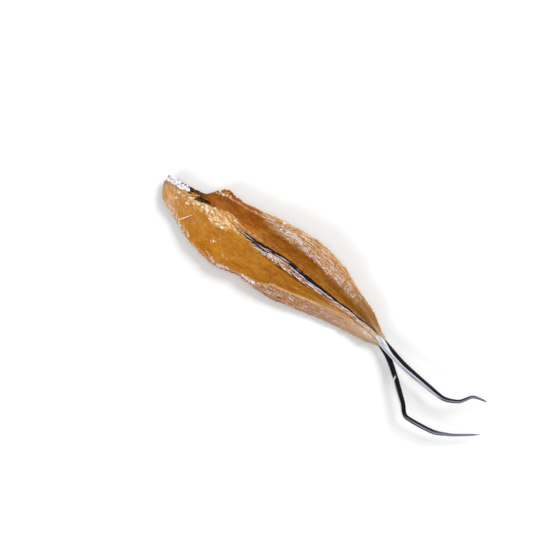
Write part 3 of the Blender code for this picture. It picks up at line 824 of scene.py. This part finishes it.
spots = []
for x, y, size in WHITE_SPECKS:
    for _ in range(6):
        at_x, at_y = x + draw.gauss(0, 0.45) * size, y + draw.gauss(0, 0.35) * size
        spots += lump_on_flesh(at_x, at_y, 0.1, draw.uniform(0, 3.1), size * draw.uniform(0.4, 0.85), draw.uniform(1, 1.5))
fat = Finish(bpy.data.materials.new("white_fat"))
fat_bits = fat.patches(fat.spot(0.8, 0.8, 0.8), 0.3, 0.7, 3)
fat.set(Base_Color=fat.steps(fat_bits, paint(240, 222, 214), paint(254, 250, 252)), Roughness=0.25)
fat.set(Subsurface_Weight=0.25, Subsurface_Scale=0.0008, Coat_Weight=0.4)
use(grow_together(make_lumps("fat_specks", spots, 2, 0.7), 0.12), fat)

# ---------------------------------------------------------------------------------------------------------------
# Frost: thin flakes of dried fat and film along the rims' crests, the lips and the ridge, white with a pink or
# violet tinge, that catch the light. They lie in loose clusters, mostly lengthwise.

FROST_CLUSTERS = (
    (33, -11.6, 1.2, 0.5, 8), (35.6, -11.9, 1.0, 0.4, 10), (37.3, -12.9, 0.9, 0.4, 12), (40.8, -12.9, 1.8, 0.25, 20),
    (43.5, -12.0, 1.2, 0.3, 16), (51.2, -10.5, 1.2, 0.5, 16), (56.5, -10.5, 1.4, 0.45, 20), (58.2, -9.6, 1.0, 0.4, 4),
    (32.0, -6.1, 1.5, 1.3, 12), (38.9, -8.8, 0.6, 0.5, 4), (41.4, -8.8, 0.6, 0.5, 4),
    (109.7, 0.6, 3.0, 1.4, 22), (105.5, 1.8, 2.6, 1.0, 14), (113.0, 0.9, 1.8, 1.2, 10),
    (51.1, 15.5, 1.2, 0.5, 16), (53.3, 18.2, 1.0, 0.4, 10), (56.6, 15.7, 1.4, 0.7, 22), (60, 15.6, 1.4, 0.7, 22),
    (62.6, 15.4, 1.2, 0.7, 22), (66.5, 13.9, 1.3, 0.7, 36), (69.4, 13.0, 1.2, 0.6, 34), (71.8, 13.8, 1.2, 0.6, 28),
    (77.1, 12.1, 1.3, 0.5, 20), (84.6, 11.6, 1.4, 0.5, 16), (90.8, 10.3, 1.3, 0.5, 12), (95.1, 9.4, 1.2, 0.4, 9),
    (73.8, -7.0, 1.2, 0.3, 14), (29.1, 15.0, 0.3, 0.2, 3), (19.2, 11.0, 0.4, 0.2, 3), (21.1, 11.7, 0.4, 0.3, 4),
    (20.7, -4.5, 0.3, 0.2, 2), (33.8, -3.8, 0.4, 0.3, 3), (30.5, 2.0, 1.6, 0.2, 14), (96.4, 2.0, 1.6, 0.2, 12),
)
RIDGE_MIDDLE = ((45, 3.6), (52, 3.0), (60, 3.0), (66, 2.9), (76, 2.8), (86, 3.0), (98, 3.0))
FAR_LIP_MIDDLE = ((50, 17.5), (62, 18.2), (75, 15.8), (96, 9.8))
NEAR_LIP_MIDDLE = ((58, -11.0), (70, -8.6), (82, -5.8), (94, -3.0), (106, -1.2))
draw = random.Random(23)


def draw_flake(x, y, small=0.08, large=0.22):
    radius = draw.uniform(small, large)
    return lump_on_flesh(x, y, radius * 0.1, draw.gauss(-0.08, 0.3), radius, draw.uniform(1.3, 3.6))


def frost_along(line, start, end, count, spread, **sizes):
    """Flakes round a line of (x, y) knots, in clusters."""
    made = []
    while len(made) < count:
        x = draw.uniform(start, end)
        if noise.noise((x / 1.6, 5.5, spread)) > draw.uniform(-0.2, 0.35):
            made += draw_flake(x, np.interp(x, *np.transpose(line)) + draw.gauss(0, spread), **sizes)
    return made


spots = frost_along(NEAR_LINE, 34, 58, 130, 0.5, large=0.18)
spots += frost_along(RIDGE_MIDDLE, 45, 62, 190, 0.6, large=0.16)
spots += frost_along(RIDGE_MIDDLE, 64, 98, 45, 0.35, large=0.16)
spots += frost_along(NEAR_LINE, 4, 30, 40, 0.35, large=0.13)
spots += frost_along(NEAR_LINE, 62, 100, 40, 0.3, large=0.13)
spots += frost_along(FAR_LINE, 26, 44, 50, 0.25, large=0.13)
spots += frost_along(FAR_LINE, 46, 98, 230, 1.1, large=0.18)
spots += frost_along(FAR_LIP_MIDDLE, 50, 94, 240, 1.3, large=0.14)
spots += frost_along(NEAR_LIP_MIDDLE, 58, 106, 160, 1.2, large=0.12)
spots += frost_along(((100, 2.4), (116, 1.0)), 101, 114, 90, 0.9, large=0.2)
for x, y, length, width, count in FROST_CLUSTERS:
    for _ in range(count):
        spots += draw_flake(x + draw.gauss(0, length / 2), y + draw.gauss(0, width / 2))
frost = Finish(bpy.data.materials.new("frost"))
frost_colour = frost.steps(frost.mask("tint"), paint(236, 196, 182), paint(244, 226, 230), paint(252, 250, 255))
frost.set(Base_Color=frost_colour, Roughness=0.25, Subsurface_Weight=0.2, Subsurface_Scale=0.0004, Coat_Weight=0.4)
use(make_lumps("frost_flakes", spots, 1, 0.35, roughness=0.35), frost)

# ---------------------------------------------------------------------------------------------------------------
# Loose fibres: one long pale hair of flesh across the near channel, short frayed ones along the front of the
# near rim, and a few that stand up at the far half's front corner.

HAIR_ROUTE = ((14.5, -7.4), (15.6, -5.9), (16.9, -3.9), (18.05, -2.0))
FRAYED_FIBRES = 90
share = np.linspace(0, 1, 14)
hair_x, hair_y = (np.interp(share, np.linspace(0, 1, 4), numbers) for numbers in np.transpose(HAIR_ROUTE))
hair_z = heights_on(hair_x, hair_y)
hair_z = np.linspace(hair_z[0], hair_z[-1], 14) + 0.5 + 0.5 * np.sin(share * math.pi)
hair = np.stack([hair_x, hair_y, hair_z], axis=1)
hairs = [(hair, 0.24 * (0.5 + 0.5 * np.sin(share * math.pi) ** 0.4), 0.85)]
share = np.linspace(0, 1, 7)
bow = np.sin(share * math.pi)
for _ in range(FRAYED_FIBRES):
    x = draw.uniform(4, 22)
    y = np.interp(x, *np.transpose(NEAR_LINE)) + draw.uniform(-0.4, 1.4)
    length, heading, curl = draw.uniform(0.8, 3.2), draw.gauss(-0.95, 0.45), draw.uniform(-0.5, 0.5)
    xs = x + length * share * math.cos(heading) - curl * bow * math.sin(heading)
    ys = y + length * share * math.sin(heading) + curl * bow * math.cos(heading)
    zs = heights_on(xs, ys)
    if zs.min() > 0.5:
        lifted = np.stack([xs, ys, zs + 0.06 + 0.2 * bow * draw.random()], axis=1)
        hairs.append((lifted, draw.uniform(0.06, 0.16) * (0.3 + 0.7 * bow), draw.uniform(0.6, 1)))
for x, y, heading in ((25.4, 14.6, 1.3), (24.4, 13.8, 1.9), (27.2, 14.4, 0.9)):
    base = heights_on((x,), (y,))[0]
    rise = np.stack([x + 1.5 * share * math.cos(heading), y + 1.5 * share * math.sin(heading), base + 0.8 * share], axis=1)
    hairs.append((rise, 0.15 * (1.1 - share), 0.95))
use(make_fibres("loose_fibres", hairs), fibre)

# ---------------------------------------------------------------------------------------------------------------
# The tail lobes. Two long stiff fins, black with pale lengthwise stripes. The near one is kinked halfway, and
# both end in a fine grey tip. A silvery sheath wraps the root and runs out along the far lobe.

TAIL_SHIFT = 1.82
FAR_LOBE = (
    ((115.0, -0.6, 5.2), 3.4),
    ((121.0, -2.1, 6.6), 3.4),
    ((130.0, -4.0, 8.6), 3.1),
    ((142.5, -5.2, 10.4), 2.7),
    ((150.0, -5.6, 10.6), 2.1),
    ((157.4, -2.8, 9.8), 1.5),
    ((161.8, 2.6, 9.2), 1.2),
    ((167.6, 4.2, 8.6), 0.7),
)
NEAR_LOBE = (
    ((115.5, -1.8, 4.6), 2.6),
    ((120.5, -3.8, 5.4), 2.5),
    ((124.5, -6.2, 6.0), 2.4),
    ((130.6, -10.8, 7.0), 2.4),
    ((138.0, -16.8, 8.0), 2.3),
    ((143.8, -21.2, 8.4), 1.9),
    ((155.5, -19.9, 7.4), 1.9),
    ((162.7, -16.8, 6.6), 1.3),
    ((173.8, -9.1, 5.6), 0.7),
)
LOBE_RINGS = 200
NICK_AT = 17.7  # millimetres from the near lobe's start to a pale nick in it


def lobe_route(stations):
    at = np.arange(len(stations))
    along_lobe = np.linspace(0, at[-1], LOBE_RINGS)
    middles = [smooth_curve(list(zip(at, [place[k] for place, _ in stations])), along_lobe) for k in range(3)]
    middles[1] = middles[1] + TAIL_SHIFT
    widths = smooth_curve(list(zip(at, [width for _, width in stations])), along_lobe)
    widths[-6:] = widths[-6:] * np.linspace(1, 0.35, 6)
    return np.array(middles).T, widths


fin = Finish(bpy.data.materials.new("tail_fin"))
lines_at = fin.add("ShaderNodeCombineXYZ", {"X": fin.times(fin.mask("run"), 0.1), "Y": fin.times(fin.mask("turn"), 16.0)})
lines = fin.patches(lines_at.outputs[0], 0.3, 0.7, 4)
bent_turn = fin.plus(fin.mask("turn"), fin.times(lines, 0.04))
# The lobes are black, with a painted highlight: a thin olive-grey line near the far edge.
fin.colour = fin.steps(bent_turn, (0.0, paint(16, 17, 22)), (0.3, paint(3, 3, 6)), (0.45, paint(6, 6, 9)),
                       (0.48, paint(92, 94, 86)), (0.52, paint(14, 14, 18)), (1.0, paint(14, 14, 18)))
stripe = fin.steps(bent_turn, (0.0, paint(110, 112, 128)), (0.06, paint(226, 228, 240)), (0.12, paint(204, 207, 222)),
                   (0.15, paint(50, 52, 64)), (0.18, paint(180, 183, 198)), (0.26, paint(192, 194, 208)))
stripe_end = fin.plus(fin.mask("stripe_end"), fin.times(lines, -0.03))
on_stripe = fin.count("LESS_THAN", fin.mask("turn"), stripe_end)
fin.cover(fin.times(on_stripe, fin.mask("pale")), stripe)
# Painted highlight on the thin part of each lobe: a pale line down the middle and greyish edges on black.
top_light = fin.steps(bent_turn, (0.0, paint(84, 86, 100)), (0.07, paint(12, 13, 18)), (0.17, paint(22, 24, 32)),
                      (0.22, paint(166, 170, 184)), (0.27, paint(90, 94, 108)), (0.31, paint(8, 8, 12)),
                      (0.44, paint(12, 13, 18)), (0.5, paint(70, 72, 84)))
fin.cover(fin.mask("thin"), top_light)
fin.cover(fin.mask("tip"), paint(112, 116, 136))
fin.cover(fin.mask("nick"), paint(240, 242, 250))
fin.set(Base_Color=fin.colour, Roughness=0.34, Specular_IOR_Level=0.08, Coat_Weight=0.0)
FAR_LOBE_MASKS = {"pale": ((0, 1), (20, 0.95), (34, 0.9), (38, 0.4), (42, 0)), "stripe_end": ((0, 0.27), (60, 0.25)),
                  "thin": ((0, 0), (36, 0), (42, 0.9), (60, 0.9)), "tip": ((0, 0), (46, 0), (56, 0.8), (60, 0.9))}
NEAR_LOBE_MASKS = {"pale": ((0, 0.5), (14, 0.5), (18, 0.85), (33, 0.8), (36, 0.2), (42, 0)),
                   "stripe_end": ((0, 0.08), (16, 0.08), (18.5, 0.17), (30, 0.17), (36, 0.1)),
                   "thin": ((0, 0), (33, 0), (37, 0.9), (70, 0.9)), "tip": ((0, 0), (46, 0), (56, 0.85), (70, 1))}
for name, stations, masks in (("far_tail_lobe", FAR_LOBE, FAR_LOBE_MASKS), ("near_tail_lobe", NEAR_LOBE, NEAR_LOBE_MASKS)):
    middles, widths = lobe_route(stations)
    lobe = make_strand(name, middles, widths, flatness=0.42, grooves=6, groove_depth=0.05)
    runs, turns = numbers_of(lobe.data, "run"), numbers_of(lobe.data, "turn")
    for kind, knots in masks.items():
        keep_numbers(lobe.data, kind, smooth_curve(knots, runs))
    nicked = np.exp(-(((runs - NICK_AT + (turns - 0.2) * 9) / 0.32) ** 2)) * ramp(turns, 0.32, 0.24)
    keep_numbers(lobe.data, "nick", nicked if name == "near_tail_lobe" else np.zeros_like(runs))
    use(lobe, fin)

SHEATH_ROUTE = ((113, 1.6), (115.5, 1.1), (118.3, 0.3), (122, -0.9), (126, -2.0))
SHEATH_WIDTH = ((113, 1.2), (115, 2.6), (117, 2.5), (120, 1.6), (123, 1.0), (126, 0.3))
x = np.arange(113, 126, STRAND_STEP)
y = smooth_curve(SHEATH_ROUTE, x)
z = heights_on(x, y)
lobe_top = np.interp(x, (115, 121, 130), (5.9, 7.3, 9.2))
z = np.where(x < 115.5, z, lobe_top)
for _ in range(10):
    z[1:-1] = (z[:-2] + 2 * z[1:-1] + z[2:]) / 4
sheath_finish = Finish(bpy.data.materials.new("silver_sheath"))
sheath_lines_at = sheath_finish.add(
    "ShaderNodeCombineXYZ",
    {"X": sheath_finish.times(sheath_finish.mask("run"), 0.15), "Y": sheath_finish.times(sheath_finish.mask("turn"), 16.0)},
)
sheath_lines = sheath_finish.patches(sheath_lines_at.outputs[0], 0.3, 0.7, 4)
sheath_colour = sheath_finish.steps(sheath_lines, paint(120, 116, 124), paint(206, 206, 220), paint(248, 248, 254))
sheath_finish.set(Base_Color=sheath_colour, Roughness=0.3, Coat_Weight=0.3, Coat_Roughness=0.15)
sheath_finish.raise_relief(sheath_lines, 0.0001)
sheath = make_strand("root_sheath", np.stack([x, y, z], axis=1), smooth_curve(SHEATH_WIDTH, x), flatness=0.22, grooves=7,
                     groove_depth=0.06)
use(sheath, sheath_finish)

# ---------------------------------------------------------------------------------------------------------------
# The table, the light and the camera. A white table, two broad soft lights from the sides and a weak one from
# above, and a camera that looks straight down with the fish turned as in the photograph.

TABLE_SIZE = 3.0
CAMERA_TURN = 35.5  # degrees by which the fish's length points below the picture's right-hand side
CAMERA_HEIGHT = 0.7
FRAME_WIDTH = 0.2292  # what the picture takes in at the height of the fish
FISH_LEVEL = 0.006
PICTURE_MIDDLE = (-0.0299, -0.0016)
bpy.ops.object.select_all(action="DESELECT")
bpy.ops.mesh.primitive_plane_add(size=TABLE_SIZE)
table = bpy.context.object
table.name = "table"
top = Finish(bpy.data.materials.new("white_table"))
top.set(Base_Color=(0.93, 0.93, 0.93, 1), Roughness=0.7)
table.data.materials.append(top.material)

for name, place, size, watts in (
    ("key_light", (0.1, 0.6, 0.75), 0.4, 5.2),
    ("near_light", (-0.3, -0.65, 0.6), 0.4, 2.6),
    ("top_light", (0.0, 0.0, 1.3), 0.7, 3.0),
):
    bpy.ops.object.light_add(type="AREA", location=place)
    light = bpy.context.object
    light.name = name
    light.data.size = size
    light.data.energy = watts
    light.rotation_euler = (-Vector(place)).to_track_quat("-Z", "Y").to_euler()
world = bpy.data.worlds.new("studio")
bpy.context.scene.world = world
world.use_nodes = True
world.node_tree.nodes["Background"].inputs["Color"].default_value = (1, 1, 1, 1)
world.node_tree.nodes["Background"].inputs["Strength"].default_value = 0.4

camera_place = (PICTURE_MIDDLE[0], PICTURE_MIDDLE[1], FISH_LEVEL + CAMERA_HEIGHT)
bpy.ops.object.camera_add(location=camera_place, rotation=(0, 0, math.radians(CAMERA_TURN)))
camera = bpy.context.object
camera.data.lens = camera.data.sensor_width * CAMERA_HEIGHT / FRAME_WIDTH
camera.data.clip_start = 0.01
bpy.context.scene.camera = camera
bpy.context.scene.view_settings.view_transform = "Standard"
